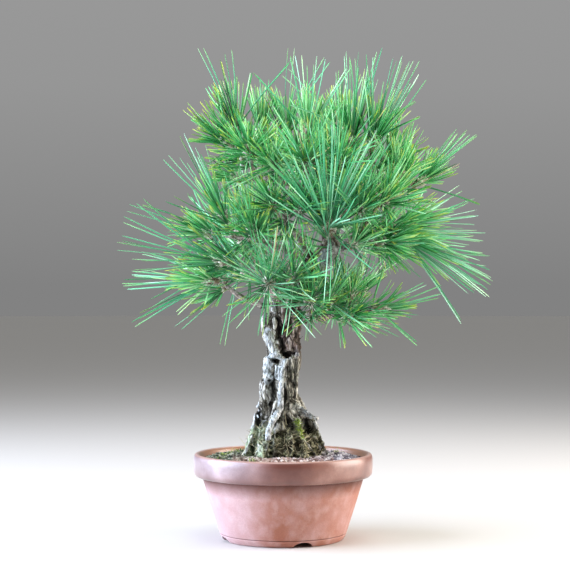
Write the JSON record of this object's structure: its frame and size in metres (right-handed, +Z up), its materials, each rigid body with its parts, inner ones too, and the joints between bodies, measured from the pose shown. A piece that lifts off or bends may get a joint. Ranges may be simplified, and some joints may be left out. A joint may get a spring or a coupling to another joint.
{
  "type": "japanese black pine bonsai in a round training pot",
  "caption": "Small pine bonsai with a flared, rough-barked trunk and sprays of long paired needles, growing in grit in a round terracotta pot with a collar rim.",
  "frame": {"origin": "on the surface that the pot stands on, under the middle of the whole tree's box; the pot's own axis is 21.9 mm towards -X and 12.6 mm towards -Y from it", "axes": "+Z up along the pot's axis, -Y towards the front of the tree, +X to the right of the front"},
  "size_m": [0.3766, 0.3372, 0.4956],
  "materials": {
    "terracotta": "unglazed fired clay, matt and dusty, the collar browner and smoother",
    "net_plastic": "black moulded mesh",
    "grit_soil": "loose grey and tan grit with some moss",
    "pine_bark": "deeply fissured grey-brown bark",
    "pine_needles": "satin green living needles"
  },
  "bodies": {
    "root": {"pot": "terracotta", "drain_net": "net_plastic", "soil": "grit_soil", "trunk_and_branches": "pine_bark", "needles_low_left_1": "pine_needles", "needles_low_left_2": "pine_needles", "needles_low_front_1": "pine_needles", "needles_low_front_2": "pine_needles", "needles_mid_left_1": "pine_needles", "needles_mid_left_2": "pine_needles", "needles_mid_left_3": "pine_needles", "needles_left_1": "pine_needles", "needles_left_2": "pine_needles", "needles_left_3": "pine_needles", "needles_left_4": "pine_needles", "needles_low_right_1": "pine_needles", "needles_low_right_2": "pine_needles", "needles_low_right_3": "pine_needles", "needles_low_right_4": "pine_needles", "needles_low_right_5": "pine_needles", "needles_low_right_6": "pine_needles", "needles_low_right_7": "pine_needles", "needles_front_centre_1": "pine_needles", "needles_front_centre_2": "pine_needles", "needles_right_1": "pine_needles", "needles_right_2": "pine_needles", "needles_right_3": "pine_needles", "needles_right_up_1": "pine_needles", "needles_right_up_2": "pine_needles", "needles_right_up_3": "pine_needles", "needles_front_right_1": "pine_needles", "needles_front_right_2": "pine_needles", "needles_top_right_1": "pine_needles", "needles_top_right_2": "pine_needles", "needles_top_right_3": "pine_needles", "needles_trunk_1": "pine_needles", "needles_top_left_1": "pine_needles", "needles_top_left_2": "pine_needles", "needles_top_left_3": "pine_needles", "needles_front_top_1": "pine_needles", "needles_front_top_2": "pine_needles", "needles_upper_left_1": "pine_needles", "needles_upper_left_2": "pine_needles", "needles_upper_left_3": "pine_needles", "needles_upper_left_4": "pine_needles", "needles_upper_left_5": "pine_needles", "needles_upper_left_6": "pine_needles", "needles_upper_left_7": "pine_needles", "needles_front_left_1": "pine_needles", "needles_front_left_2": "pine_needles", "needles_back_low_1": "pine_needles", "needles_back_low_2": "pine_needles", "needles_back_left_1": "pine_needles", "needles_back_left_2": "pine_needles", "needles_back_mid_1": "pine_needles", "needles_back_mid_2": "pine_needles", "needles_back_right_1": "pine_needles", "needles_back_top_1": "pine_needles", "needles_back_top_2": "pine_needles"}
  },
  "joints": []
}
